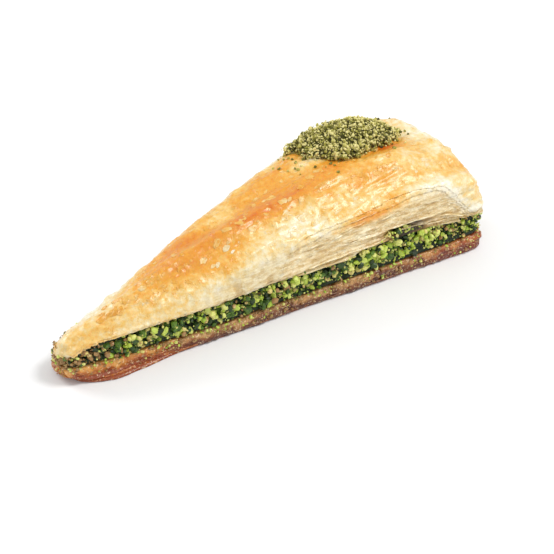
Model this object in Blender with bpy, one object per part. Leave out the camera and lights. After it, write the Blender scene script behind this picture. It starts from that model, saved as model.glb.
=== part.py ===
"""A carrot slice of pistachio baklava: one wedge cut from a round tray.

Three layers run through the wedge from its blunt tip to the tray's rim: syrup-soaked base sheets, a band of
chopped pistachio, and a puffed stack of thin pastry sheets. A mound of ground pistachio lies on the roof.
Every layer is a slab over one wedge-shaped plan, so that the layers stack with an even gap between them.
+X runs along the wedge from tip to rim, +Z is up, and the base rests on Z = 0.
"""

from math import cos, exp, pi, radians, sin, sqrt, tan

import bmesh
import bpy
from mathutils import Vector, noise
from mathutils.bvhtree import BVHTree

MM = 0.001

# Plan: a wedge of the tray, cut off where its neighbours meet at the tray's centre.
LENGTH = 166 * MM
TIP_RADIUS = 40 * MM  # from the tray's centre to the tip
HALF_ANGLE = radians(10)  # eighteen slices fill a tray
TIP_CORNER = 1.2 * MM
RIM_CORNER = 7 * MM
RIM_BULGE = 4 * MM
TIP_BULGE = 1.8 * MM
TIP_BEND = 1.6 * MM  # towards the far side
TIP_LIFT = 1.8 * MM
TIP_TILT = 1.8 * MM  # how much lower the layers lie on the far side of the tip
CUT_WANDER = 0.5 * MM  # how far the knife strays from a straight cut

# Heights of each boundary at the tip, at the middle and at the rim.
BASE_TOP = (5.4 * MM, 5.2 * MM, 6.4 * MM)
FILLING_TOP = (11.4 * MM, 15.0 * MM, 16.6 * MM)
SHOULDER = (12.2 * MM, 28.4 * MM, 33.5 * MM)
CROWN = (1.0 * MM, 3.4 * MM, 4.6 * MM)
GAP = 0.3 * MM  # between touching layers

# How unevenly the soft layers lie.
BASE_UNEVEN = 0.25 * MM
FILLING_UNEVEN = 0.35 * MM
FILLING_BULGE = 0.8 * MM
FILLING_DIP_TIP = 2.6 * MM
FILLING_DIP_RIM = 1.0 * MM
FLAP_REACH = 1.3 * MM  # lowest sheets, past the near cut face at the tip
FLAP_PLACE = 12 * MM
CHOP_DEPTH = 0.55 * MM  # hollows between the nuts at the cut face

# The roof: its droops at both ends, its long folds and its one hollow.
RIM_DROOP = 3.5 * MM
TIP_DROOP = 0.3 * MM
FOLD_HEIGHT = 0.9 * MM
FOLD_TURN = 34 * MM  # length over which a fold drifts by one radian
PUFF_HEIGHT = 1.1 * MM
HOLLOW_DEPTH = 1.2 * MM
HOLLOW_PLACE = (78 * MM, 0.35)  # from the tip, and share of the half width
HOLLOW_SIZE = (16 * MM, 0.35)

# How the puffed stack leans in and rounds over from its cut face to the roof.
LEAN = 2.4 * MM
ROUND_OVER = 5.6 * MM
FACE_SHARE = 0.62  # of the stack's height that is face, before the shoulder turns
TIP_DRAWN = 0.6  # share of an inset that the tip's own end is drawn in by
MOST_DRAWN = 0.5  # of the local half width, so that the roof stays broad at the tip
LEDGE_DEPTH = 0.9 * MM
LEDGES = 4
FAN_START, FAN_FULL = 50 * MM, 90 * MM  # where the ledges begin and reach full depth

# Grid of every slab: stations along the wedge, columns across it.
STATIONS = 32
COLUMNS = 10
END_SHARE = 0.22  # how strongly the stations crowd towards the two ends

# Mound of ground pistachio, placed from the wedge's tip and its long axis.
MOUND_CENTRE = (133 * MM, 9.5 * MM)
MOUND_SIZE = (20.5 * MM, 12.5 * MM)
MOUND_TURN = radians(-27)
MOUND_HEIGHT = 6.2 * MM
MOUND_EDGE = 1.1 * MM
MOUND_RINGS = 6
MOUND_SECTORS = 30

PASTRY_GOLD = (0.80, 0.40, 0.10)
BASE_BROWN = (0.42, 0.17, 0.05)
PISTACHIO_GREEN = (0.30, 0.42, 0.06)
GROUND_GREEN = (0.32, 0.34, 0.10)


def smoothstep(low, high, value):
    """0 up to low, 1 from high on, and a smooth climb between them; low may be the larger of the two."""
    t = min(1.0, max(0.0, (value - low) / (high - low)))
    return t * t * (3 - 2 * t)


def near_tip(s, reach):
    """1 at the tip, fading to 0 at this distance from it."""
    return smoothstep(reach, 0, s)


def near_rim(s, reach):
    """1 at the rim, fading to 0 at this distance from it."""
    return smoothstep(LENGTH - reach, LENGTH, s)


def along(values, s):
    """A smooth curve through the values at tip, middle and rim, read at distance s from the tip."""
    tip, middle, rim = values
    t = s / LENGTH
    return tip * (1 - t) * (1 - 2 * t) + middle * 4 * t * (1 - t) + rim * t * (2 * t - 1)


def ripple(x, y, wavelength, seed):
    """Smooth noise from -1 to 1 over the plan."""
    return noise.noise(Vector((x / wavelength, y / wavelength, seed)))


def uneven(s, v, wavelength, seed):
    """Noise round a slab. It dies out at the tip, where the columns lie too close together to carry it."""
    return ripple(s, v * LENGTH, wavelength, seed) * smoothstep(2 * MM, 14 * MM, s)


def station(i):
    """Distance from the tip of station i, with the stations closer together at the two ends."""
    t = i / STATIONS
    crowded = 0.5 - 0.5 * cos(pi * t)
    return LENGTH * ((1 - END_SHARE) * crowded + END_SHARE * t)


def corner(distance, radius):
    """How far a round corner of the plan draws the side in, at a distance from the wedge's end."""
    if distance >= radius:
        return 0.0
    return radius - sqrt(radius**2 - (radius - max(distance, 0.0)) ** 2)


def drawn_in(inset, most):
    """The inset itself while it is small, easing towards the most that the slab has room for."""
    return inset / (1 + (inset / most) ** 4) ** 0.25 if inset > 0 else inset


def plan(s, v, inset):
    """The plan's point at distance s from the tip and share v across, for an outline drawn in by inset."""
    tip_end, rim_end = TIP_DRAWN * inset, LENGTH - inset
    inner = tip_end + s * (rim_end - tip_end) / LENGTH
    half = (TIP_RADIUS + inner) * tan(HALF_ANGLE)
    half -= corner(inner - tip_end, TIP_CORNER) + corner(rim_end - inner, RIM_CORNER)
    half -= drawn_in(inset / cos(HALF_ANGLE), MOST_DRAWN * half)
    side = -1 if v < 0 else 1
    half += CUT_WANDER * ripple(s, side * LENGTH, 30 * MM, 1.7) * smoothstep(0, 15 * MM, s)
    x = inner
    x += RIM_BULGE * (1 - v * v) * near_rim(s, 28 * MM)
    x -= TIP_BULGE * (1 - v * v) * near_tip(s, 8 * MM)
    return x, half * v + TIP_BEND * near_tip(s, 16 * MM)


def from_tip(s, inset):
    """True distance from the tip of a drawn-in outline's point, whose own stations start further in."""
    return s + TIP_DRAWN * inset * (1 - s / LENGTH)


def placed(bm, s, v, height, inset):
    """A new point of a slab. Every layer leans to the far side at the tip alike, more the higher it lies."""
    x, y = plan(s, v, inset)
    across = y / ((TIP_RADIUS + max(x, 0.0)) * tan(HALF_ANGLE))
    lean = TIP_TILT * near_tip(x, 60 * MM) * min(1.0, max(-1.0, across))
    return bm.verts.new((x, y, height - lean * smoothstep(0, 10 * MM, height)))


def base_top(s, v):
    """Top of the base sheets."""
    return along(BASE_TOP, s) + BASE_UNEVEN * uneven(s, v, 14 * MM, 4.1)


def filling_top(s, v):
    """Top of the pistachio band, which dips at the tip and at the rim and bulges a little inside."""
    dip = FILLING_DIP_TIP * near_tip(s, 9 * MM) + FILLING_DIP_RIM * near_rim(s, 14 * MM)
    bulge = FILLING_BULGE * (1 - v * v) * smoothstep(0, 30 * MM, s)
    return along(FILLING_TOP, s) + bulge - dip + FILLING_UNEVEN * uneven(s, v, 12 * MM, 9.3)


def shoulder_height(s):
    """Height that the stack's side climbs towards, before the roof's folds and crown."""
    return along(SHOULDER, s) - TIP_DROOP * near_tip(s, 10 * MM)


def roof(s, v):
    """Top of the puffed stack inside its rounded shoulder: crowned, lower at the rim, with long folds."""
    crown = along(CROWN, s) * (1 - v * v)
    droop = RIM_DROOP * near_rim(s, 22 * MM)
    fold = FOLD_HEIGHT * sin(5.2 * v + s / FOLD_TURN) * smoothstep(15 * MM, 70 * MM, s)
    off_s, off_v = (s - HOLLOW_PLACE[0]) / HOLLOW_SIZE[0], (v - HOLLOW_PLACE[1]) / HOLLOW_SIZE[1]
    hollow = HOLLOW_DEPTH * exp(-(off_s**2) - off_v**2)
    puff = PUFF_HEIGHT * ripple(s, v * 30 * MM, 22 * MM, 2.9) * smoothstep(0, 20 * MM, s)
    return shoulder_height(s) + crown - droop + fold - hollow + puff


def perimeter():
    """(station, column) of the points round a slab: near side, rim, far side, tip."""
    near = [(i, 0) for i in range(STATIONS)]
    rim = [(STATIONS, j) for j in range(COLUMNS)]
    far = [(STATIONS - i, COLUMNS) for i in range(STATIONS)]
    tip = [(0, COLUMNS - j) for j in range(COLUMNS)]
    return near + rim + far + tip


def share(j):
    """Share across the wedge of column j, from -1 on the near side to 1 on the far side."""
    return 2 * j / COLUMNS - 1


def grid_points(bm, height, inset):
    """A grid of points over the plan, by station and column, each at height(s, v)."""
    grid = {}
    for i in range(STATIONS + 1):
        for j in range(COLUMNS + 1):
            s, v = station(i), share(j)
            grid[i, j] = placed(bm, s, v, height(from_tip(s, inset), v), inset)
    return grid


def grid_faces(bm, grid, upward):
    for i in range(STATIONS):
        for j in range(COLUMNS):
            corners = [grid[i, j], grid[i + 1, j], grid[i + 1, j + 1], grid[i, j + 1]]
            bm.faces.new(corners if upward else corners[::-1])


def slab(name, floor, floor_inset, ceiling, ceiling_inset, rows):
    """A closed solid between two grids. Each row turns (s, v) into the (height, inset) of a side ring."""
    bm = bmesh.new()
    lower = grid_points(bm, floor, floor_inset)
    upper = grid_points(bm, ceiling, ceiling_inset)
    grid_faces(bm, lower, upward=False)
    grid_faces(bm, upper, upward=True)
    ring_keys = perimeter()
    rings = [[lower[key] for key in ring_keys]]
    for row in rows:
        ring = []
        for i, j in ring_keys:
            s, v = station(i), share(j)
            inset = row(s, v)[1]
            height = row(from_tip(s, inset), v)[0]
            ring.append(placed(bm, s, v, height, inset))
        rings.append(ring)
    rings.append([upper[key] for key in ring_keys])
    count = len(ring_keys)
    for below, above in zip(rings, rings[1:]):
        for k in range(count):
            after = (k + 1) % count
            bm.faces.new((below[k], below[after], above[after], above[k]))
    return finished(name, bm)


def finished(name, bm):
    """The bmesh as a named, smooth-shaded object."""
    bmesh.ops.recalc_face_normals(bm, faces=bm.faces)
    mesh = bpy.data.meshes.new(name)
    bm.to_mesh(mesh)
    bm.free()
    mesh.shade_smooth()
    mesh.set_sharp_from_angle(angle=radians(35))
    part = bpy.data.objects.new(name, mesh)
    bpy.context.scene.collection.objects.link(part)
    return part


def coat(part, colour, roughness):
    """Gives the part its own Principled material."""
    material = bpy.data.materials.new(part.name)
    material.use_nodes = True
    shader = material.node_tree.nodes["Principled BSDF"]
    shader.inputs["Base Color"].default_value = (*colour, 1)
    shader.inputs["Roughness"].default_value = roughness
    part.data.materials.append(material)


def base_pastry():
    """Soaked base sheets: flat below, rounded at the edge, with lowest sheets that flap out at the tip."""

    def lowest(s, v):
        return TIP_LIFT * near_tip(s, 7 * MM)

    def flap(s, v):
        out = FLAP_REACH * exp(-(((s - FLAP_PLACE) / (9 * MM)) ** 2)) if v < 0 else 0
        return lowest(s, v) + 1.2 * MM, 0.2 * MM - out

    def above_flap(s, v):
        return lowest(s, v) + 2.0 * MM, 0.7 * MM + 0.3 * MM * uneven(s, v, 9 * MM, 6.6)

    def crumb(s, v):
        return 0.75 * base_top(s, v), 0.1 * MM + 0.3 * MM * uneven(s, v, 8 * MM, 3.2)

    part = slab("base_pastry", lowest, 1.0 * MM, base_top, 0.8 * MM, [flap, above_flap, crumb])
    coat(part, BASE_BROWN, 0.45)
    return part


def pistachio_filling():
    """Band of chopped pistachio, uneven at its cut face and overhung by the pastry above."""

    def floor(s, v):
        return base_top(s, v) + GAP

    def band(level, depth, seed):
        def row(s, v):
            low, high = floor(s, v), filling_top(s, v)
            rough = CHOP_DEPTH * uneven(s, v, 6 * MM, seed)
            return low + level * (high - low), depth + rough

        return row

    rows = [band(0.3, 0.7 * MM, 5.5), band(0.65, 0.9 * MM, 7.5)]
    part = slab("pistachio_filling", floor, 0.9 * MM, filling_top, 1.6 * MM, rows)
    coat(part, PISTACHIO_GREEN, 0.6)
    return part


def puffed_pastry():
    """Puffed stack of thin sheets: it leans in from the cut face in ledges and rounds over into the roof."""
    face_inset = 0.3 * MM
    roof_inset = face_inset + LEAN + ROUND_OVER

    def floor(s, v):
        return filling_top(s, v) + GAP

    def ledge(level, out):
        """A ring of the leaning face. Rings come in pairs: a notch, and the edge that stands out above it."""

        def row(s, v):
            low, high = floor(s, v), shoulder_height(s)
            fanned = smoothstep(FAN_START, FAN_FULL, s)
            step = LEDGE_DEPTH * fanned * (out + 0.5 * uneven(s, v, 11 * MM, 20 * level))
            return low + level * FACE_SHARE * (high - low), face_inset + LEAN * level**1.3 - step

        return row

    def shoulder(turn):
        """A ring of the rounded shoulder, turn going from 0 at the face to 1 at the roof."""

        def row(s, v):
            low, high = floor(s, v), roof(s, v)
            start = low + FACE_SHARE * (shoulder_height(s) - low)
            angle = turn * pi / 2
            return start + (high - start) * sin(angle), face_inset + LEAN + ROUND_OVER * (1 - cos(angle))

        return row

    rows = []
    for n in range(LEDGES):
        rows.append(ledge((n + 0.25) / LEDGES, -0.35))
        rows.append(ledge((n + 0.8) / LEDGES, 0.5))
    rows += [shoulder(turn) for turn in (0.25, 0.5, 0.78)]
    part = slab("puffed_pastry", floor, face_inset, roof, roof_inset, rows)
    coat(part, PASTRY_GOLD, 0.35)
    return part


def highest_near(surface, x, y):
    """The highest point of the surface within a crumb's width of (x, y)."""
    steps = (-MOUND_EDGE, 0, MOUND_EDGE)
    down = Vector((0, 0, -1))
    return max(surface.ray_cast(Vector((x + dx, y + dy, 1)), down)[0].z for dx in steps for dy in steps)


def ground_pistachio(pastry):
    """Mound of ground pistachio, an uneven oval whose underside lies on the roof."""
    bm = bmesh.new()
    surface = BVHTree.FromObject(pastry, bpy.context.evaluated_depsgraph_get())
    bottoms, tops = [], []
    for ring in range(MOUND_RINGS + 1):
        reach = ring / MOUND_RINGS
        bottom_ring, top_ring = [], []
        for sector in range(MOUND_SECTORS if ring else 1):
            angle = 2 * pi * sector / MOUND_SECTORS
            lobes = 1 + 0.10 * sin(3 * angle + 0.6) + 0.07 * sin(7 * angle)
            across = reach * lobes * MOUND_SIZE[0] * cos(angle)
            up = reach * lobes * MOUND_SIZE[1] * sin(angle)
            x = MOUND_CENTRE[0] + across * cos(MOUND_TURN) - up * sin(MOUND_TURN)
            y = MOUND_CENTRE[1] + across * sin(MOUND_TURN) + up * cos(MOUND_TURN)
            floor = highest_near(surface, x, y) + GAP
            lump = 0.7 * MM * ripple(x, y, 4 * MM, 8.8) * (1 - reach**2)
            thick = MOUND_EDGE + MOUND_HEIGHT * (1 - reach**2) ** 0.8 + lump
            bottom_ring.append(bm.verts.new((x, y, floor)))
            top_ring.append(bm.verts.new((x, y, floor + thick)))
        bottoms.append(bottom_ring)
        tops.append(top_ring)
    for rings in (bottoms, tops):
        for sector in range(MOUND_SECTORS):
            after = (sector + 1) % MOUND_SECTORS
            bm.faces.new((rings[0][0], rings[1][sector], rings[1][after]))
            for inner, outer in zip(rings[1:], rings[2:]):
                bm.faces.new((inner[sector], outer[sector], outer[after], inner[after]))
    for sector in range(MOUND_SECTORS):
        after = (sector + 1) % MOUND_SECTORS
        bm.faces.new((bottoms[-1][sector], bottoms[-1][after], tops[-1][after], tops[-1][sector]))
    part = finished("ground_pistachio", bm)
    coat(part, GROUND_GREEN, 0.8)
    return part


def centre_on_base(parts):
    """Moves the whole slice so that the middle of its box's underside is the origin."""
    points = [vertex.co for part in parts for vertex in part.data.vertices]
    low = Vector([min(p[axis] for p in points) for axis in range(3)])
    high = Vector([max(p[axis] for p in points) for axis in range(3)])
    middle = Vector(((low.x + high.x) / 2, (low.y + high.y) / 2, low.z))
    for part in parts:
        for vertex in part.data.vertices:
            vertex.co -= middle


for old in list(bpy.data.objects):
    bpy.data.objects.remove(old)

layers = [base_pastry(), pistachio_filling(), puffed_pastry()]
mound = ground_pistachio(layers[-1])
centre_on_base([*layers, mound])
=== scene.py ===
"""A carrot slice of pistachio baklava, as it is layered, baked, soaked, cut and topped."""

from math import cos, pi, radians, sin

import bpy
import numpy as np
from mathutils import Matrix, Vector
from mathutils.bvhtree import BVHTree


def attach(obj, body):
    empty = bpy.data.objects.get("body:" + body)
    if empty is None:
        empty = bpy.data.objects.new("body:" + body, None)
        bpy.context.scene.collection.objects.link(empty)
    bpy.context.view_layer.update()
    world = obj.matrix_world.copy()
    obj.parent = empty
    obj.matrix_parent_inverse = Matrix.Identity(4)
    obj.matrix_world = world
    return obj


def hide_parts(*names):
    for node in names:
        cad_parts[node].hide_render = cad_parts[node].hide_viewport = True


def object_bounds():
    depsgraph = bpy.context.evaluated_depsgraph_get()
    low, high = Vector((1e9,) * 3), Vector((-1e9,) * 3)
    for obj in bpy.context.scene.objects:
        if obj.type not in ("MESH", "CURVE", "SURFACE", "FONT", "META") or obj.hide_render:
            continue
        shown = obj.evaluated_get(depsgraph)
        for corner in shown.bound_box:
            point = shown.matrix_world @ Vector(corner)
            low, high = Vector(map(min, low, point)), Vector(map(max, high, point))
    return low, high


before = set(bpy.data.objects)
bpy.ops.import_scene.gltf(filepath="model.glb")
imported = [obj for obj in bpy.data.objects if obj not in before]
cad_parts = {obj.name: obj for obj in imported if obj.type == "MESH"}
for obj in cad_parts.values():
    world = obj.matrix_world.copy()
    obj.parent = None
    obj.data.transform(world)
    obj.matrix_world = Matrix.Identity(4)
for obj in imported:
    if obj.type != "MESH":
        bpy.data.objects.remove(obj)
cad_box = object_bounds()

# Camera: a long lens, a little above the slice, that looks at the near cut face from beside the
# tip. It aims just in front of the slice's middle, at a third of its height.
MM = 0.001  # lengths below are in mm, except the lamps' places and sizes
LENS_MM = 120
DISTANCE = 638 * MM
AZIMUTH, ELEVATION = radians(-41), radians(34)
aim = (cad_box[0] + cad_box[1]) / 2 + Vector((-5.5, -17.0, 0)) * MM
aim.z = 15 * MM
backwards = Vector((sin(AZIMUTH) * cos(ELEVATION), -cos(AZIMUTH) * cos(ELEVATION), sin(ELEVATION)))
bpy.ops.object.camera_add(location=aim + DISTANCE * backwards)
camera = bpy.context.active_object
camera.rotation_euler = backwards.to_track_quat("Z", "Y").to_euler()
camera.data.lens = LENS_MM
camera.data.clip_start = 0.01
bpy.context.scene.camera = camera

# Base: the sheets under the nuts, which soak up most of the syrup and turn brown and sticky.
# The knife leaves one outline round the whole slice, so it is found here, on the lowest layer.
BASE_FACE = 0.45  # mm, the size of a carved face
BASE_SHEET = 1.05  # mm, from one bundle of stuck sheets to the next
GRAIN = 0.7  # mm, crumbs of soaked pastry and sugar
STEP = 0.5  # mm between stations round the cut
ACROSS = 5  # rows of points across a sheet's edge
REACH_OUT = 8  # mm outside the cut, from where its surface is looked for


def spots(piece):
    """The piece's points in mm, one row each."""
    flat = np.empty(len(piece.data.vertices) * 3, np.float32)
    piece.data.vertices.foreach_get("co", flat)
    return flat.reshape(-1, 3).astype(float) / MM


def move_to(piece, points):
    """Puts the piece's points at these places in mm."""
    piece.data.vertices.foreach_set("co", (points * MM).astype(np.float32).ravel())
    piece.data.update()


def outwards(piece):
    """The direction that the surface faces at each point."""
    flat = np.empty(len(piece.data.vertices) * 3, np.float32)
    piece.data.vertex_normals.foreach_get("vector", flat)
    return flat.reshape(-1, 3).astype(float)


def note(piece, **marks):
    """Stores a number for each point, or one for them all, which the piece's material reads by name."""
    for name, values in marks.items():
        layer = piece.data.attributes.new(name, "FLOAT", "POINT")
        layer.data.foreach_set("value", np.full(len(piece.data.vertices), values, np.float32))


def only(piece):
    """Selects this piece alone, as the one that operators act on."""
    bpy.ops.object.select_all(action="DESELECT")
    piece.select_set(True)
    bpy.context.view_layer.objects.active = piece


def finish_with(piece, kind, **settings):
    """Adds a modifier with these settings and applies it."""
    only(piece)
    modifier = piece.modifiers.new(kind, kind)
    for key, value in settings.items():
        setattr(modifier, key, value)
    bpy.ops.object.modifier_apply(modifier=modifier.name)


def carving_stock(node, name, face):
    """A copy of a packed layer, merged and remeshed in even faces of this many mm."""
    piece = bpy.data.objects.new(name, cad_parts[node].data.copy())
    piece.data.name = name
    bpy.context.scene.collection.objects.link(piece)
    only(piece)
    bpy.ops.object.mode_set(mode="EDIT")
    bpy.ops.mesh.select_all(action="SELECT")
    bpy.ops.mesh.remove_doubles(threshold=0.01 * MM)
    bpy.ops.object.mode_set(mode="OBJECT")
    finish_with(piece, "REMESH", mode="VOXEL", voxel_size=face * MM)
    finish_with(piece, "SMOOTH", factor=0.5, iterations=6)
    bpy.ops.object.shade_smooth()
    return piece


LOTS = np.random.default_rng(18)
SHUFFLE = LOTS.permutation(4096)
DRAWN = LOTS.uniform(-1, 1, 4096)


def mottle(points, size, seed):
    """Smooth uneven values from -1 to 1 at points in mm, changing over about size mm."""
    grid = np.asarray(points, float) / size + 11.37 * seed
    cell = np.floor(grid).astype(np.int64)
    part = grid - cell
    part = part * part * (3 - 2 * part)
    total = np.zeros(len(grid))
    for corner in np.ndindex(2, 2, 2):
        x, y, z = (cell + corner).T & 4095
        drawn = DRAWN[SHUFFLE[(SHUFFLE[(SHUFFLE[x] + y) & 4095] + z) & 4095]]
        total += drawn * np.prod(np.where(corner, part, 1 - part), axis=1)
    return total


def ramp(low, high, values):
    """0 up to low, 1 from high on, and a smooth climb between them."""
    t = np.clip((values - low) / (high - low), 0, 1)
    return t * t * (3 - 2 * t)


def surface_of(piece):
    """The piece's surface in mm, to look for from outside."""
    return BVHTree.FromPolygons(spots(piece).tolist(), [tuple(f.vertices) for f in piece.data.polygons])


def cut_outline(surface, height):
    """Evenly spaced points round a layer at this height, from the far side by way of the tip."""
    turns = np.linspace(0, 2 * pi, 7200, endpoint=False) + 0.6 * pi
    inside = Vector((25, 0, height))
    hits = [surface.ray_cast(inside, Vector((cos(t), sin(t), 0)))[0] for t in turns]
    ring = np.array([(hit.x, hit.y) for hit in hits])
    ring = np.vstack([ring, ring[:1]])
    length = np.concatenate([[0], np.cumsum(np.linalg.norm(np.diff(ring, axis=0), axis=1))])
    even = np.linspace(0, length[-1], int(length[-1] / STEP), endpoint=False)
    ring = np.column_stack([np.interp(even, length, ring[:, 0]), np.interp(even, length, ring[:, 1])])
    for _ in range(3):
        ring = (np.roll(ring, 1, axis=0) + ring + np.roll(ring, -1, axis=0)) / 3
    along = np.roll(ring, -1, axis=0) - np.roll(ring, 1, axis=0)
    along /= np.linalg.norm(along, axis=1)[:, None]
    return ring, np.column_stack([along[:, 1], -along[:, 0]])


def heights(node, pick):
    """A layer's lowest or highest points along the slice, as a function of x in mm."""
    points = spots(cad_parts[node])
    ends = np.linspace(points[:, 0].min(), points[:, 0].max() + 0.01, 23)
    bands = [points[(points[:, 0] >= a) & (points[:, 0] < b)] for a, b in zip(ends, ends[1:])]
    levels = [pick(band[:, 2]) if len(band) else np.nan for band in bands]
    middles, levels = (ends[1:] + ends[:-1]) / 2, np.array(levels)
    known = ~np.isnan(levels)
    return lambda x: np.interp(x, middles[known], levels[known])


def nearest_station(points):
    """The station of the cut that lies nearest to each point."""
    found = np.empty(len(points), int)
    for start in range(0, len(points), 4000):
        block = points[start:start + 4000, None, :2] - cut[None]
        found[start:start + 4000] = (block**2).sum(axis=2).argmin(axis=1)
    return found


def stand_out(surface, z):
    """How far the surface lies outside the cut's outline at each station, at that station's height."""
    starts = np.column_stack([cut + REACH_OUT * facing, z])
    found = np.full(len(cut), -3.0)
    for i, (start, inward) in enumerate(zip(starts, -facing)):
        place, _, _, distance = surface.ray_cast(Vector(start), Vector((*inward, 0)), 2 * REACH_OUT)
        if place is not None:
            found[i] = REACH_OUT - distance
    return found


def sheet_edges(name, surface, levels, height, reach, droop, depth, thick):
    """Thin sheets' edges round the cut, one closed ribbon each. height, reach and droop give, for a
    level and every station, the ribbon's height, how far it stands out and how far its edge drops."""
    points, faces = [], []
    count = len(cut)
    for number, level in enumerate(levels):
        z = height(level)
        base_line = stand_out(surface, z)
        out, drop = reach(level), droop(level)
        first = number * count * ACROSS
        for row in range(ACROSS):
            share = row / (ACROSS - 1)
            outer = base_line - depth + share * (depth + out)
            points.append(np.column_stack([cut + facing * outer[:, None], z - drop * share**2]))
        for row in range(ACROSS - 1):
            near, far = first + row * count, first + (row + 1) * count
            faces += [(near + i, far + i, far + (i + 1) % count, near + (i + 1) % count)
                      for i in range(count)]
    mesh = bpy.data.meshes.new(name)
    mesh.from_pydata((np.vstack(points) * MM).tolist(), [], faces)
    piece = bpy.data.objects.new(name, mesh)
    bpy.context.scene.collection.objects.link(piece)
    finish_with(piece, "SOLIDIFY", thickness=thick * MM, offset=0)
    bpy.ops.object.shade_smooth()
    return piece


base = carving_stock("base_pastry", "soaked_base", BASE_FACE)
base_side = surface_of(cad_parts["base_pastry"])
cut, facing = cut_outline(base_side, 3.4)
cut_x = cut[:, 0]

points, out = spots(base), outwards(base)
side = 1 - ramp(0.5, 0.9, np.abs(out[:, 2]))
sheet = points[:, 2] / BASE_SHEET + 0.35 * mottle(points * (1, 1, 0), 9, 1)
whole = ramp(-0.2, 0.6, mottle(points, 6, 8))  # where the sheets have not crumbled together
ridge = np.abs(np.sin(pi * sheet)) ** 1.5 * whole
crumb = mottle(points, GRAIN, 2) + 0.6 * mottle(points, 1.7 * GRAIN, 3)
relief = side * (0.14 * (ridge - 0.6) + 0.34 * crumb + 0.45 * mottle(points, 2.6, 4))
move_to(base, points + out * relief[:, None])
base_top = heights("base_pastry", np.max)
wet = 1 - ramp(0.0, 1.15, points[:, 2] / base_top(points[:, 0]) + 0.55 * mottle(points, 3, 5))
note(base, soak=0.75 * wet, tip=ramp(-30, -62, points[:, 0] + 6 * mottle(points, 6, 6)),
     rim=ramp(35, 75, points[:, 0] + 6 * mottle(points, 6, 7)))


def linear(code):
    """An sRGB hex colour as the linear one that a shader takes."""
    parts = [int(code[i:i + 2], 16) / 255 for i in (1, 3, 5)]
    return [p / 12.92 if p <= 0.04045 else ((p + 0.055) / 1.055) ** 2.4 for p in parts] + [1.0]


def add(material, kind, inputs, stops=(), **properties):
    """Adds a node with these properties and colour stops; an input takes a value or another's output."""
    node = material.node_tree.nodes.new("ShaderNode" + kind)
    for name, value in properties.items():
        setattr(node, name, value)
    for name, value in inputs.items():
        if isinstance(value, bpy.types.NodeSocket):
            material.node_tree.links.new(value, node.inputs[name])
        else:
            node.inputs[name].default_value = value
    if stops:
        elements = node.color_ramp.elements
        elements.remove(elements[1])
        elements[0].position, elements[0].color = stops[0][0], linear(stops[0][1])
        for place, code in stops[1:]:
            elements.new(place).color = linear(code)
    return node


def finish_named(name, **inputs):
    """A new material, its Principled shader with these plain inputs, and where its patterns lie."""
    material = bpy.data.materials.new(name)
    material.use_nodes = True
    shader = material.node_tree.nodes["Principled BSDF"]
    for key, value in inputs.items():
        shader.inputs[key.replace("_", " ")].default_value = value
    return material, shader, add(material, "TexCoord", {}).outputs["Object"]


def wear(piece, material):
    """Gives the piece its material and its place on the slice."""
    piece.data.materials.clear()
    piece.data.materials.append(material)
    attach(piece, "root")


# Soaked filo: bottom sheets boiled in sugar syrup, baked brown below and tan above. The syrup
# gives a sticky gloss, and sugar crystals on the cut give it small bright grains. Those are drawn
# at 0.5 to 0.8 mm, a little coarser than real, so that they show.
soaked, shader, where = finish_named("soaked_filo", IOR=1.45, Subsurface_Weight=0.15,
                                     Subsurface_Scale=1.2 * MM, Coat_Weight=0.35, Coat_Roughness=0.2)
join = soaked.node_tree.links.new
soak = add(soaked, "Attribute", {}, attribute_name="soak").outputs["Fac"]
at_tip = add(soaked, "Attribute", {}, attribute_name="tip").outputs["Fac"]
at_rim = add(soaked, "Attribute", {}, attribute_name="rim").outputs["Fac"]
grains = add(soaked, "TexNoise", {"Vector": where, "Scale": 1 / (1.3 * MM), "Detail": 4.0,
                                  "Roughness": 0.75}).outputs["Fac"]
depth = add(soaked, "Math", {0: grains, 1: 0.85, 2: soak}, operation="MULTIPLY_ADD").outputs[0]
brown = add(soaked, "ValToRGB", {"Fac": depth}, [(0.15, "#f0d9ac"), (0.38, "#c9995c"), (0.65, "#8e5428"),
                                                 (1.0, "#5a2a12")]).outputs["Color"]
amber = add(soaked, "ValToRGB", {"Fac": depth}, [(0.15, "#f3d293"), (0.40, "#dca14e"), (0.70, "#c06f24"),
                                                 (1.0, "#8e3d10")]).outputs["Color"]
russet = add(soaked, "ValToRGB", {"Fac": depth}, [(0.15, "#e4b06c"), (0.40, "#b4682a"), (0.70, "#97441a"),
                                                  (1.0, "#742a0f")]).outputs["Color"]
towards_rim = add(soaked, "Mix", {0: at_rim, 6: brown, 7: russet}, data_type="RGBA").outputs[2]
colour = add(soaked, "Mix", {0: at_tip, 6: towards_rim, 7: amber}, data_type="RGBA").outputs[2]
sugar = add(soaked, "TexNoise", {"Vector": where, "Scale": 1 / (0.8 * MM), "Detail": 3.0}).outputs["Fac"]
sugared = add(soaked, "MapRange", {"Value": sugar, "From Min": 0.58, "From Max": 0.66,
                                   "To Max": 0.6}).outputs[0]
colour = add(soaked, "Mix", {0: sugared, 6: colour, 7: linear("#f6dcae")}, data_type="RGBA").outputs[2]
join(colour, shader.inputs["Base Color"])
join(colour, shader.inputs["Subsurface Radius"])
gloss = add(soaked, "MapRange", {"Value": grains, "From Min": 0.3, "From Max": 0.7, "To Min": 0.22,
                                 "To Max": 0.6}).outputs[0]
join(gloss, shader.inputs["Roughness"])
crystals = add(soaked, "TexNoise", {"Vector": where, "Scale": 1 / (0.5 * MM), "Detail": 2.0}).outputs["Fac"]
bump = add(soaked, "Bump", {"Height": crystals, "Distance": 0.25 * MM, "Strength": 0.8})
join(bump.outputs["Normal"], shader.inputs["Normal"])

wear(base, soaked)
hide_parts("base_pastry")

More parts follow.
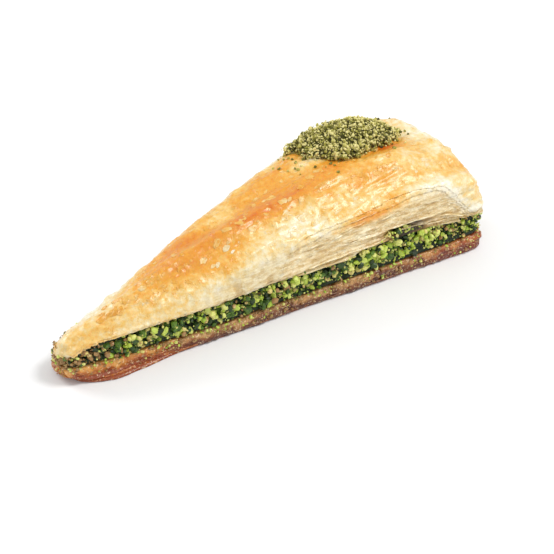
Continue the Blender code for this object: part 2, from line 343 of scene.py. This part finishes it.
# Base sheets' edges: sheets that the syrup hasn't glued flat. Two stand out of the cut as thin
# amber lips, and by the tip the lowest one has peeled down into an orange-red flap.
BASE_LEVELS = (0.2, 0.5)  # shares of the base's height
FLAP_X = -64
FLAP_SPREAD, FLAP_OUT = 15, 2.4  # mm along the cut to each side, and out of it


def base_sheet_height(level):
    lift = 1.3 * ramp(-72, -84, cut_x)
    return 0.5 + lift + level * (base_top(cut_x) - 1.0) + 0.35 * mottle(on_cut, 14, 40 + level)


def base_sheet_reach(level):
    torn = 0.30 * mottle(on_cut, 5, 50 + level) + 0.2 * mottle(on_cut, 1.4, 60 + level)
    return -0.1 + 1.6 * torn + 0.3 * ramp(-40, -70, cut_x)


on_cut = np.column_stack([cut, np.zeros(len(cut))])
lips = sheet_edges("base_sheet_edges", base_side, BASE_LEVELS, base_sheet_height, base_sheet_reach,
                   lambda level: 0.3 + 0.2 * mottle(on_cut, 7, 70 + level), 1.4, 0.2)
note(lips, soak=0.35, tip=ramp(-20, -60, spots(lips)[:, 0]), rim=ramp(35, 75, spots(lips)[:, 0]))
wear(lips, soaked)


def flap_reach(level):
    by_tip = np.exp(-(((cut_x - FLAP_X) / FLAP_SPREAD) ** 2)) * (facing[:, 1] < 0)
    return -0.6 + by_tip * (FLAP_OUT + 0.5 * mottle(on_cut, 6, 80))


flap = sheet_edges("peeled_base_flap", base_side, (0.0,), lambda level: np.full(len(cut), 1.1), flap_reach,
                   lambda level: 0.8, 1.6, 0.25)
note(flap, soak=0.56, tip=1, rim=0)
wear(flap, soaked)

# Filling: pistachios chopped by knife into bits of up to 4 mm and packed in one band. What shows
# is the cut's face, so loose bits crowd round a core painted near-black as the shade in the gaps
# between them, big ones mixed with crumbs.
CORE_FACE = 0.9
CORE_INSET = 2.6  # mm of loose bits in front of the core
CHUNKS, BITS = 1500, 3000
CHUNK_SIZE = (2.0, 5.6)  # mm, before the knife's cuts make them smaller
BIT_SIZE = (0.6, 1.5)
POCKET = (46, 18.5)  # x and height of the hollow where the sheets arch off the nuts
POCKET_SIZE = (9, 2.4)
POCKET_RISE = 4.2  # mm that the nuts pile up into it
draw = np.random.default_rng(41)


def nut_bit(faces, cuts, seed):
    """One chopped bit a unit wide, of about this many faces: a ball squeezed, sliced and roughened."""
    bpy.ops.mesh.primitive_ico_sphere_add(subdivisions=1, radius=0.5)
    piece = bpy.context.active_object
    chance = np.random.default_rng(seed)
    bpy.ops.object.mode_set(mode="EDIT")
    bpy.ops.mesh.select_all(action="SELECT")
    bpy.ops.transform.resize(value=(1.0, chance.uniform(0.55, 0.85), chance.uniform(0.45, 0.7)))
    for _ in range(cuts):
        way = Vector(chance.normal(size=3)).normalized()
        bpy.ops.mesh.select_all(action="SELECT")
        bpy.ops.mesh.bisect(plane_co=way * chance.uniform(0.2, 0.33), plane_no=way, use_fill=True,
                            clear_outer=True)
    bpy.ops.object.mode_set(mode="OBJECT")
    points = spots(piece)
    rough = 1 + 0.16 * mottle(points, 260, seed)
    move_to(piece, points * rough[:, None])
    finish_with(piece, "TRIANGULATE")
    finish_with(piece, "DECIMATE", ratio=min(1.0, faces / len(piece.data.polygons)))
    shape = spots(piece) * MM, np.array([f.vertices[:] for f in piece.data.polygons])
    bpy.data.objects.remove(piece)
    return shape


def turned(shape, size):
    """The shape's points at this size, turned at random."""
    turn, _ = np.linalg.qr(draw.normal(size=(3, 3)))
    turn *= np.sign(np.linalg.det(turn))
    return shape @ turn.T * size


def scatter(name, kinds, places, sizes, tones):
    """One piece of many bits: a random kind at each place in mm, at its size and with its tone."""
    points, faces, marks, first = [], [], [], 0
    for place, size, tone in zip(places, sizes, tones):
        shape, corners = kinds[draw.integers(len(kinds))]
        points.append(place + turned(shape, size))
        faces.append(corners + first)
        marks.append(np.full(len(shape), tone))
        first += len(shape)
    mesh = bpy.data.meshes.new(name)
    mesh.from_pydata((np.vstack(points) * MM).tolist(), [], np.vstack(faces).tolist())
    piece = bpy.data.objects.new(name, mesh)
    bpy.context.scene.collection.objects.link(piece)
    note(piece, tone=np.concatenate(marks))
    only(piece)
    bpy.ops.object.shade_smooth_by_angle(angle=radians(14))
    return piece


filling_low, filling_high = heights("pistachio_filling", np.min), heights("pistachio_filling", np.max)
core = carving_stock("pistachio_filling", "filling_core", CORE_FACE)
points, out = spots(core), outwards(core)
side = 1 - ramp(0.4, 0.8, np.abs(out[:, 2]))
move_to(core, points - out * (side * (CORE_INSET + 0.5 * mottle(points, 2.5, 11)))[:, None])
# Tone 0 gives the core the darkest, near-black kernel colours: painted shade in the gaps between the bits.
note(core, tone=0)


def band_places(count, sizes, inner, outer):
    """Places for bits in the band's face: spread round the cut, from its floor up to just under its
    top, between these two depths from the cut."""
    stations = draw.integers(0, len(cut), count)
    level = draw.uniform(0, 1, count)
    arch = POCKET_RISE * np.exp(-(((cut_x[stations] - POCKET[0] + 3) / POCKET_SIZE[0]) ** 2))
    arch += 1.0 * ramp(-56, -70, cut_x[stations]) * ramp(-82, -78, cut_x[stations])
    arch *= facing[stations, 1] < -0.8
    floor, top = filling_low(cut_x[stations]) + 0.35, filling_high(cut_x[stations]) - 0.5 + arch
    z = floor + 0.3 * sizes + level * (top - floor - 0.6 * sizes)
    depth = draw.uniform(inner, outer, count) - 0.35 * sizes
    return np.column_stack([cut[stations] + facing[stations] * depth[:, None], z])


def shrunk_at_ends(sizes, places):
    """Finer chopping at the tip and in the last stretch before the rim, as the nuts were crushed there."""
    return sizes * (1 - 0.32 * ramp(46, 66, places[:, 0]) - 0.3 * ramp(-68, -80, places[:, 0]))


def nut_tones(places):
    """Tone of each bit: dark green 0, green, yellow-green, straw 0.8, and tan skin at 1 by the tip."""
    dark_share = 0.54 - 0.24 * ramp(0, 35, places[:, 0])
    tone = np.where(draw.uniform(size=len(places)) < dark_share, draw.uniform(0.02, 0.25, len(places)),
                    draw.uniform(0.42, 0.80, len(places)))
    tan = draw.uniform(size=len(places)) < 0.04 + 0.75 * ramp(-66, -80, places[:, 0])
    return np.where(tan, draw.uniform(0.82, 1, len(places)), tone)


chunk_kinds = [nut_bit(faces=44, cuts=8, seed=n) for n in range(14)]
bit_kinds = [nut_bit(faces=32, cuts=5, seed=20 + n) for n in range(5)]
sizes = CHUNK_SIZE[0] + (CHUNK_SIZE[1] - CHUNK_SIZE[0]) * draw.beta(1.4, 2.4, CHUNKS)
places = band_places(CHUNKS, sizes, -2.2, 0.8)
chunks = scatter("chopped_pistachio", chunk_kinds, places, shrunk_at_ends(sizes, places), nut_tones(places))
sizes = draw.uniform(*BIT_SIZE, BITS)
places = band_places(BITS, sizes, -2.2, 0.3)
bits = scatter("pistachio_bits", bit_kinds, places, shrunk_at_ends(sizes, places), nut_tones(places))

# Crumbs: nut meal and baked scraps that the knife dragged down and the syrup glued to the base.
CRUMBS = 1500
stations = draw.integers(0, len(cut), CRUMBS)
size = 0.7 + 2.0 * draw.beta(1.0, 3.0, CRUMBS)
level = draw.uniform(0, 1, CRUMBS) ** 0.6
top = base_top(cut_x[stations])
depth = draw.uniform(-0.4, 0.3, CRUMBS) - 0.2 * size
places = np.column_stack([cut[stations] + facing[stations] * depth[:, None], 1.2 + level * (top - 0.9)])
green = draw.uniform(size=CRUMBS) < 0.3
tone = np.where(green, draw.uniform(0.4, 0.75, CRUMBS), draw.uniform(0.84, 1, CRUMBS))
crumbs = scatter("stuck_crumbs", bit_kinds, places, size, tone)

# Chopped pistachio: moist raw kernels, yellow-green where the knife went through and dark green to
# purple-brown where the skin is left. The cut faces are waxy, with a fine mealy grain.
kernel, shader, where = finish_named("chopped_kernel", IOR=1.46, Subsurface_Weight=0.2,
                                     Subsurface_Scale=1.0 * MM, Coat_Weight=0.15, Coat_Roughness=0.3)
join = kernel.node_tree.links.new
tone = add(kernel, "Attribute", {}, attribute_name="tone").outputs["Fac"]
meal = add(kernel, "TexNoise", {"Vector": where, "Scale": 1 / (1.1 * MM), "Detail": 4.0,
                                "Roughness": 0.6}).outputs["Fac"]
shade = add(kernel, "Math", {0: meal, 1: 0.35, 2: tone}, operation="MULTIPLY_ADD").outputs[0]
# The near-black lowest stop is reached mostly by the core, as painted shade; the dark greens of skinned bits
# are their own colour.
colour = add(kernel, "ValToRGB", {"Fac": shade}, [(0.12, "#0c1406"), (0.30, "#27420f"), (0.50, "#6c9226"),
             (0.66, "#b4c944"), (0.84, "#dadf7a"), (0.97, "#dcc77a"), (1.0, "#a57f4e")]).outputs["Color"]
join(colour, shader.inputs["Base Color"])
join(colour, shader.inputs["Subsurface Radius"])
gloss = add(kernel, "MapRange", {"Value": meal, "To Min": 0.3, "To Max": 0.65}).outputs[0]
join(gloss, shader.inputs["Roughness"])
bump = add(kernel, "Bump", {"Height": meal, "Distance": 0.3 * MM, "Strength": 0.6})
join(bump.outputs["Normal"], shader.inputs["Normal"])
for piece in (core, chunks, bits, crumbs):
    wear(piece, kernel)
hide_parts("pistachio_filling")

# Puffed stack: the buttered sheets above the nuts, which steam blew apart in the oven. Its roof and
# rim are one baked golden skin, and below the skin's torn edge the cut shows pale sheets.
PASTRY_FACE = 0.62
SHEET_PITCH = 1.15  # mm between the ledges that bundles of sheets leave in the cut
SKIN_LIFT, SKIN_CURL = 0.22, 0.45  # mm, over the stack and more at the torn edge
UNDER_LIFT, UNDER_CURL = 0.1, 0.3
pastry_low, pastry_high = heights("puffed_pastry", np.min), heights("puffed_pastry", np.max)
cut_low = pastry_low(cut_x)
crease = np.interp(cut_x, [-86, -50, -24, -2, 14, 34, 51, 61, 66, 70, 76],
                   [6, 14, 22, 25.8, 27.2, 29.2, 30.4, 29.6, 25, 18.5, 15])
for _ in range(16):
    crease = (np.roll(crease, 1) + crease + np.roll(crease, -1)) / 3
torn_from = ramp(-14, 4, cut_x)  # nearer the tip one skin drapes over the whole face, untorn
crease += 0.7 * mottle(on_cut, 11, 13) + 0.3 * mottle(on_cut, 4, 14)
tear_line = np.where(torn_from > 0, crease * torn_from + (cut_low - 3) * (1 - torn_from), cut_low - 3)

pastry = carving_stock("puffed_pastry", "puffed_pastry_stack", PASTRY_FACE)
points, out = spots(pastry), outwards(pastry)
station = nearest_station(points)
rise = points[:, 2] - crease[station]
up = ramp(0.3, 0.75, out[:, 2])
side = (1 - up) * (out[:, 2] > -0.5)
layer = (points[:, 2] - cut_low[station]) / SHEET_PITCH + 0.8 * mottle(points, 16, 16)
ledge = np.abs(np.sin(pi * layer)) ** 1.3
fanned = ramp(-20, 35, points[:, 0])
folds = mottle(points * (0.45, 1, 1), 9, 17)
creasing = (1 - np.abs(mottle(points * (0.35, 1, 1), 3.4, 18))) ** 3
pleats = (1 - np.abs(mottle(points * (0.14, 1, 1), 3.2, 27))) ** 7
drape = (1 - np.abs(mottle(points * (1, 1, 0.4), 3.0, 26))) ** 2
blisters = np.clip(mottle(points, 4.5, 19) - 0.3, 0, 1)
crinkle = (1 - np.abs(mottle(points * (0.6, 1, 1), 1.5, 20))) ** 2
near = out[:, 1] < 0.1
pocket = near * np.exp(-(((points[:, 0] - POCKET[0]) / POCKET_SIZE[0]) ** 2)
                       - ((points[:, 2] - POCKET[1]) / POCKET_SIZE[1]) ** 2)
draped = 1 - 0.75 * ramp(-12, 12, points[:, 0])  # the pleats of the untorn skin, lost where it opens
relief = side * (0.42 * fanned * (ledge - 0.6) + 0.85 * draped * (drape - 0.5) + 0.35 * (crinkle - 0.5)
                 - 3.2 * pocket)
relief += up * (0.6 * folds + 0.5 * (creasing - 0.4) + 1.0 * blisters + 0.3 * (crinkle - 0.4) + 0.1 * pleats)
move_to(pastry, points + out * relief[:, None])


def spot(points, x, y, size_x, size_y):
    """A soft spot on the plan, 1 at its middle."""
    return np.exp(-(((points[:, 0] - x) / size_x) ** 2) - ((points[:, 1] - y) / size_y) ** 2)


def browning(points, rise, folds):
    """How deeply the oven coloured the skin, 0 cream, 0.5 gold, 1 orange-red, with painted shade in it: paler
    on the folds' crests and deeper orange in their hollows.
    """
    high = pastry_high(points[:, 0])
    roofed = ramp(-1.0, 7.0, rise - 0.22 * (high - 14) * ramp(-20, -50, points[:, 0]))
    value = 0.12 + 0.33 * roofed + 0.16 * mottle(points * (0.5, 1, 1), 13, 21)
    value += 0.12 * mottle(points * (0.6, 1, 1), 4.5, 22) - 0.16 * folds
    value += 0.40 * spot(points, -28, 6, 14, 5) + 0.38 * spot(points, -5, -2, 18, 4)
    value += 0.5 * spot(points, 58, -4, 8, 4) + 0.3 * spot(points, 36, 0, 7, 4)
    value -= 0.20 * spot(points, 8, -13, 17, 5)  # paler cream on the near shoulder, a painted highlight where it faces the key lamp
    return value - 0.13 * ramp(35, 75, points[:, 0])


def shade_under_torn_edge(points, rise):
    """Painted shade under the lifted torn skin: a deeper golden-orange band just below the tear, 1 at its
    middle.
    """
    return np.exp(-(((points[:, 0] - 34) / 14) ** 2) - ((rise + 1.2) / 1.8) ** 2)


# Painted shade: a deeper orange band under the overhanging torn edge of the skin.
shade_under_edge = shade_under_torn_edge(points, rise)
opened = (0.15 + 0.85 * ramp(-66, 4, points[:, 0])) * (1 - 0.85 * shade_under_edge)
# The crevice mark is painted shade: it darkens the hollow where the sheets arch off the nuts and the valleys
# of the drape.
note(pastry, browning=np.clip(browning(points, rise, folds) + 0.45 * shade_under_edge, 0, 1),
     inner=ramp(2.0, -3.5, rise) * (1 - up) * opened,
     crevice=np.clip(pocket * 1.6 + 0.75 * side * draped * (0.55 - drape), 0, 1))


def torn_skin(name, lift, low_edge, high_edge, curl):
    """A skin over the stack: the stack's faces from this high above the tear to this high above the
    crease, lifted off the stack and curling away from it along the torn edge."""
    skin = bpy.data.objects.new(name, pastry.data.copy())
    bpy.context.scene.collection.objects.link(skin)
    height = points[:, 2] - tear_line[station] - low_edge
    keep = (height > 0) & (rise < high_edge) & (out[:, 2] > -0.3) & (pocket < 0.25)
    curling = np.exp(-np.clip(height, 0, None) / 1.6) * curl * (0.6 + 0.6 * mottle(points, 7, 23))
    move_to(skin, spots(skin) + out * (lift + np.clip(curling, 0, None))[:, None])
    only(skin)
    skin.data.polygons.foreach_set("select", [False] * len(skin.data.polygons))
    skin.data.edges.foreach_set("select", [False] * len(skin.data.edges))
    skin.data.vertices.foreach_set("select", (~keep).tolist())
    bpy.ops.object.mode_set(mode="EDIT")
    bpy.ops.mesh.delete(type="VERT")
    bpy.ops.mesh.select_all(action="SELECT")
    bpy.ops.mesh.region_to_loop()
    bpy.ops.mesh.vertices_smooth(factor=0.5, repeat=20)
    bpy.ops.object.mode_set(mode="OBJECT")
    finish_with(skin, "SOLIDIFY", thickness=0.22 * MM, offset=0)
    bpy.ops.object.shade_smooth()
    return skin


skin = torn_skin("golden_skin", SKIN_LIFT, 0.0, 1e3, SKIN_CURL)
under_skin = torn_skin("under_skin", UNDER_LIFT, -1.6 + 1.2 * mottle(points, 8, 24), 5.0, UNDER_CURL)

# Baked filo: wheat sheets thin as paper, brushed with clarified butter. Baked dry they go from cream
# through gold to orange, with a soft buttery gloss, fine crinkles and pale blistered flecks. The
# flecks are partly painted highlight, cream spots that stand for small white glints.
baked, shader, where = finish_named("baked_filo", IOR=1.46, Subsurface_Weight=0.2,
                                    Subsurface_Scale=1.5 * MM, Coat_Weight=0.45, Coat_Roughness=0.22)
join = baked.node_tree.links.new
brown = add(baked, "Attribute", {}, attribute_name="browning").outputs["Fac"]
# Cream flecks from noise: partly real pale blisters, partly painted highlight standing for small glints.
fleck_and_glint = add(baked, "TexNoise", {"Vector": where, "Scale": 1 / (2.2 * MM), "Detail": 5.0,
                                "Roughness": 0.62}).outputs["Fac"]
value = add(baked, "Math", {0: fleck_and_glint, 1: -0.75, 2: brown}, operation="MULTIPLY_ADD").outputs[0]
value = add(baked, "Math", {0: value, 1: 0.385}, operation="ADD").outputs[0]
colour = add(baked, "ValToRGB", {"Fac": value}, [(0.02, "#fdf3d8"), (0.18, "#f4deab"), (0.36, "#f1c06c"),
             (0.54, "#eaa236"), (0.78, "#e18a1e"), (1.0, "#d4640e")]).outputs["Color"]
inner = add(baked, "Attribute", {}, attribute_name="inner").outputs["Fac"]
crevice = add(baked, "Attribute", {}, attribute_name="crevice").outputs["Fac"]
along = add(baked, "Mapping", {"Vector": where, "Scale": (0.35, 1.0, 1.6)}).outputs["Vector"]
streak = add(baked, "TexNoise", {"Vector": along, "Scale": 1 / (1.8 * MM), "Detail": 6.0, "Roughness": 0.7,
                                 "Distortion": 0.5}).outputs["Fac"]
# Painted shade: the crevice mark pushes the pale sheets down the ramp to dark olive and near-black, on top of
# their own streaks.
streak_and_shade = add(baked, "Math", {0: crevice, 1: 0.55, 2: streak}, operation="MULTIPLY_ADD").outputs[0]
pale = add(baked, "ValToRGB", {"Fac": streak_and_shade}, [(0.36, "#f4e6c0"), (0.49, "#e2ca98"), (0.62, "#c6a264"),
                                              (0.80, "#9c7636"), (1.0, "#34280f")]).outputs["Color"]
colour = add(baked, "Mix", {0: inner, 6: colour, 7: pale}, data_type="RGBA").outputs[2]
join(colour, shader.inputs["Base Color"])
join(colour, shader.inputs["Subsurface Radius"])
gloss = add(baked, "MapRange", {"Value": fleck_and_glint, "From Min": 0.3, "From Max": 0.7, "To Min": 0.25,
                                "To Max": 0.5}).outputs[0]
join(gloss, shader.inputs["Roughness"])
crackle = add(baked, "TexNoise", {"Vector": where, "Scale": 1 / (0.9 * MM), "Detail": 4.0,
                                  "Roughness": 0.6, "Distortion": 0.6},
              noise_type="RIDGED_MULTIFRACTAL").outputs["Fac"]
bump = add(baked, "Bump", {"Height": crackle, "Distance": 0.35 * MM, "Strength": 0.8})
join(bump.outputs["Normal"], shader.inputs["Normal"])
for piece in (pastry, skin, under_skin):
    wear(piece, baked)
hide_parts("puffed_pastry")

# Sheets' edges: at the cut the pale inner sheets show as thin wavy leaves. The knife tore them a
# little, so they stand out unevenly, and the lowest ones hang over the nuts.
SHEETS = 9
pastry_side = surface_of(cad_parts["puffed_pastry"])


def sheet_height(level):
    wave = 1.3 * mottle(on_cut, 19, 30 + 2 * level) + 0.4 * mottle(on_cut, 5, 31 + level)
    room = np.maximum(crease - cut_low, 0.5)
    return cut_low + 0.15 + level * room + wave * np.minimum(room / 12, 1) * (0.3 + level * (1 - level))


def sheet_reach(level):
    torn = 0.80 * mottle(on_cut, 8, 32 + 3 * level) + 0.3 * mottle(on_cut, 2.2, 33 + 3 * level)
    hidden = 1.6 * ramp(0.1, -0.35, mottle(on_cut, 13, 36 + 5 * level)) + 2.5 * (1 - ramp(-16, 10, cut_x))
    hidden += 3 * np.exp(-(((cut_x - POCKET[0]) / POCKET_SIZE[0]) ** 2)) * (level < 0.35) * (facing[:, 1] < 0)
    return 0.25 + torn + 0.3 * (1 - level) - hidden


def sheet_droop(level):
    return 0.25 + 0.45 * mottle(on_cut, 8, 34 + 2 * level) + 0.6 * (level < 0.1)


leaves = sheet_edges("filo_leaves", pastry_side, np.linspace(0, 0.97, SHEETS), sheet_height, sheet_reach,
                     sheet_droop, 1.8, 0.16)
spread = spots(leaves)
# The painted shade band under the torn skin's edge turns these leaves deeper golden there.
golden = shade_under_torn_edge(spread, spread[:, 2] - crease[nearest_station(spread)])
note(leaves, browning=0.10 + 0.05 * mottle(spread, 6, 35) + 0.75 * golden, inner=1 - 0.85 * golden, crevice=0)
wear(leaves, baked)

# Flakes: scraps of the uppermost sheet that blistered, tore and dried pale. Each is stuck down on one
# side and lifts on the other, most of them along the near shoulder.
FLAKES = 210
FLAKE_SIZE = (1.0, 5.6)
FLAKES_ALONG = (-70, 70)
RINGS, SECTORS = 4, 14
TRAY_CENTRE, SPREAD = -125, 0.176  # x where the two cuts would meet, and half the width per mm from it
roof = surface_of(pastry)


def flake(x, y, size, turn, seed):
    """Rows of points of one ragged scrap on the roof, in rings from its middle out, or None off it."""
    rows = []
    for ring in range(1, RINGS + 1):
        for sector in range(SECTORS):
            angle = 2 * pi * sector / SECTORS
            ragged = 1 + 0.45 * mottle([(6 * cos(angle), 6 * sin(angle), seed)], 2.5, 91)[0]
            far = size / 2 * ring / RINGS * ragged
            off = Vector((far * cos(angle), 0.55 * far * sin(angle)))
            off.rotate(turn)
            hit = roof.ray_cast(Vector((x + off.x, y + off.y, 80)), Vector((0, 0, -1)))[0]
            if hit is None:
                return None
            lift = 0.36 + 0.07 * size * max(0.0, sin(angle)) ** 2 * (ring / RINGS) ** 2
            rows.append((hit.x, hit.y, hit.z + lift))
    return rows


points, faces = [], []
for seed in range(FLAKES):
    x = draw.uniform(*FLAKES_ALONG)
    half = (x - TRAY_CENTRE) * SPREAD
    y = draw.uniform(-0.78, 0.1) * half if seed % 3 else draw.uniform(-0.6, 0.7) * half
    turn = Matrix.Rotation(draw.uniform(-0.7, 0.7), 2)
    size = FLAKE_SIZE[0] + (FLAKE_SIZE[1] - FLAKE_SIZE[0]) * draw.beta(1.1, 3.4)
    scrap = flake(x, y, size, turn, seed)
    if scrap is None:
        continue
    first = len(points)
    points += scrap
    for ring in range(RINGS - 1):
        near_ring, far_ring = first + ring * SECTORS, first + (ring + 1) * SECTORS
        faces += [(near_ring + i, far_ring + i, far_ring + (i + 1) % SECTORS, near_ring + (i + 1) % SECTORS)
                  for i in range(SECTORS)]
    faces.append(tuple(range(first, first + SECTORS)))
mesh = bpy.data.meshes.new("roof_flakes")
mesh.from_pydata((np.array(points) * MM).tolist(), [], faces)
flakes = bpy.data.objects.new("roof_flakes", mesh)
bpy.context.scene.collection.objects.link(flakes)
spread = spots(flakes)
above = spread[:, 2] - crease[nearest_station(spread)]
shade = 0.20 + 0.22 * ramp(0, 8, above) + 0.24 * mottle(spread, 9, 92)
note(flakes, browning=np.clip(shade, 0.05, 0.6), inner=0, crevice=0)
finish_with(flakes, "SOLIDIFY", thickness=0.08 * MM, offset=0)
bpy.ops.object.shade_smooth()
wear(flakes, baked)

# Mound: ground pistachio spooned on the roof after baking. What is finer than rice is relief on
# the mound's core, with loose grains and small clumps on top and a few strewn round it.
GRAINS = 5000
CLUMPS = 230
LOOSE = 1200  # of the grains lie evenly over the mound, and the rest stick together in clumps
STREWN = 60
STREWN_REACH = (21, 12)  # mm, about as far as the mound's own edge, along the slice and across
MOUND_FACE = 0.5
mound = carving_stock("ground_pistachio", "mound_core", MOUND_FACE)
points, out = spots(mound), outwards(mound)
lumps = 0.5 * mottle(points, 3.6, 51) + 0.45 * mottle(points, 1.1, 52) - 1.9
move_to(mound, points + out * lumps[:, None])
# The core gets the darkest meal tones: painted shade in the gaps between the grains.
note(mound, tone=0.1 + 0.15 * mottle(points, 2, 53))

cad_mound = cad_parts["ground_pistachio"]
points = spots(cad_mound)
corners = points[np.array([f.vertices[:] for f in cad_mound.data.polygons])]
normal = np.cross(corners[:, 1] - corners[:, 0], corners[:, 2] - corners[:, 0])
area = np.linalg.norm(normal, axis=1)
normal /= area[:, None]
upper = normal[:, 2] > -0.2
chosen = draw.choice(len(corners), CLUMPS + LOOSE, p=area * upper / (area * upper).sum())
weights = draw.dirichlet((1, 1, 1), CLUMPS + LOOSE)
hearts = (corners[chosen] * weights[:, :, None]).sum(axis=1)
girth = np.where(np.arange(CLUMPS + LOOSE) < CLUMPS, draw.uniform(1.1, 3.0, CLUMPS + LOOSE), 0.3)
hearts -= (0.65 * girth + draw.uniform(-0.4, 1.1, CLUMPS + LOOSE))[:, None] * normal[chosen]
clump = np.concatenate([draw.integers(0, CLUMPS, GRAINS - LOOSE), np.arange(CLUMPS, CLUMPS + LOOSE)])
ball = draw.normal(size=(GRAINS, 3))
ball /= np.linalg.norm(ball, axis=1)[:, None]
places = hearts[clump] + ball * (girth[clump] * draw.uniform(0.6, 1, GRAINS) ** 0.33)[:, None]
sizes = 0.6 + 1.9 * draw.beta(1.1, 3.0, GRAINS)
clump_tone = draw.uniform(-0.32, 0.28, CLUMPS + LOOSE)
# Grains high on their clump are lighter and low ones darker: painted light from above, on top of each clump's
# own tone.
grain_tones = np.clip(draw.beta(1.7, 1.1, GRAINS) + clump_tone[clump] + 0.35 * ball[:, 2], 0, 1)
grain_kinds = [nut_bit(faces=30, cuts=5, seed=60 + n) for n in range(6)]
grains = scatter("ground_grains", grain_kinds, places, sizes, grain_tones)

middle = points.mean(axis=0)
angle = draw.uniform(0, 2 * pi, STREWN)
reach = 1.0 + draw.exponential(0.22, STREWN)
strewn = []
for turn, far in zip(angle, reach):
    x, y = middle[:2] + far * np.array(STREWN_REACH) * (cos(turn), sin(turn))
    place = roof.ray_cast(Vector((x, y, 80)), Vector((0, 0, -1)))[0]
    if place is not None:
        strewn.append((place.x, place.y, place.z + 0.6))
strewn = np.array(strewn)
strays = scatter("strewn_grains", grain_kinds, strewn, draw.uniform(0.9, 1.9, len(strewn)),
                 draw.beta(1.8, 1.9, len(strewn)))

# Ground pistachio: dry meal of kernels and skins, dull, olive to yellow-green with dark specks.
meal_finish, shader, where = finish_named("ground_kernel", Roughness=0.75, IOR=1.45, Subsurface_Weight=0.1,
                                          Subsurface_Scale=0.6 * MM)
join = meal_finish.node_tree.links.new
tone = add(meal_finish, "Attribute", {}, attribute_name="tone").outputs["Fac"]
speck = add(meal_finish, "TexNoise", {"Vector": where, "Scale": 1 / (0.6 * MM), "Detail": 3.0}).outputs["Fac"]
shade = add(meal_finish, "Math", {0: speck, 1: 0.4, 2: tone}, operation="MULTIPLY_ADD").outputs[0]
# The darkest stops also colour the mound's core, as painted shade between the grains.
colour = add(meal_finish, "ValToRGB", {"Fac": shade}, [(0.15, "#33290f"), (0.40, "#5f5f20"),
             (0.65, "#98923c"), (0.90, "#c4bd66"), (1.0, "#e2d892")]).outputs["Color"]
join(colour, shader.inputs["Base Color"])
join(colour, shader.inputs["Subsurface Radius"])
bump = add(meal_finish, "Bump", {"Height": speck, "Distance": 0.2 * MM, "Strength": 0.7})
join(bump.outputs["Normal"], shader.inputs["Normal"])
for piece in (mound, grains, strays):
    wear(piece, meal_finish)
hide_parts("ground_pistachio")

# Studio: a plain white table, a soft key lamp high in front of the rim end, a wide lower one from
# the left and a third behind the slice that draws its far edge.
bpy.ops.mesh.primitive_plane_add(size=4, location=(0, 0, 0))
table = bpy.context.active_object
table.name = "table"
table.data.materials.append(finish_named("white_table", Roughness=0.6, Base_Color=linear("#f4f4f4"))[0])

world = bpy.data.worlds.new("studio")
world.use_nodes = True
world.node_tree.nodes["Background"].inputs["Color"].default_value = linear("#ffffff")
world.node_tree.nodes["Background"].inputs["Strength"].default_value = 0.56
bpy.context.scene.world = world


def lamp(name, place, size, watts, colour):
    """A square soft lamp at this place in metres, turned towards the slice."""
    bpy.ops.object.light_add(type="AREA", location=place)
    light = bpy.context.active_object
    light.name = name
    light.rotation_euler = Vector(place).to_track_quat("Z", "Y").to_euler()
    light.data.size, light.data.energy, light.data.color = size, watts, linear(colour)[:3]


lamp("key", (0.36, -0.29, 0.70), 0.30, 4.2, "#ffffff")
lamp("fill", (-0.55, -0.45, 0.30), 0.60, 1.1, "#f4f8ff")
lamp("edge", (-0.20, 0.60, 0.38), 0.35, 2.2, "#ffffff")
bpy.context.scene.view_settings.view_transform = "Standard"
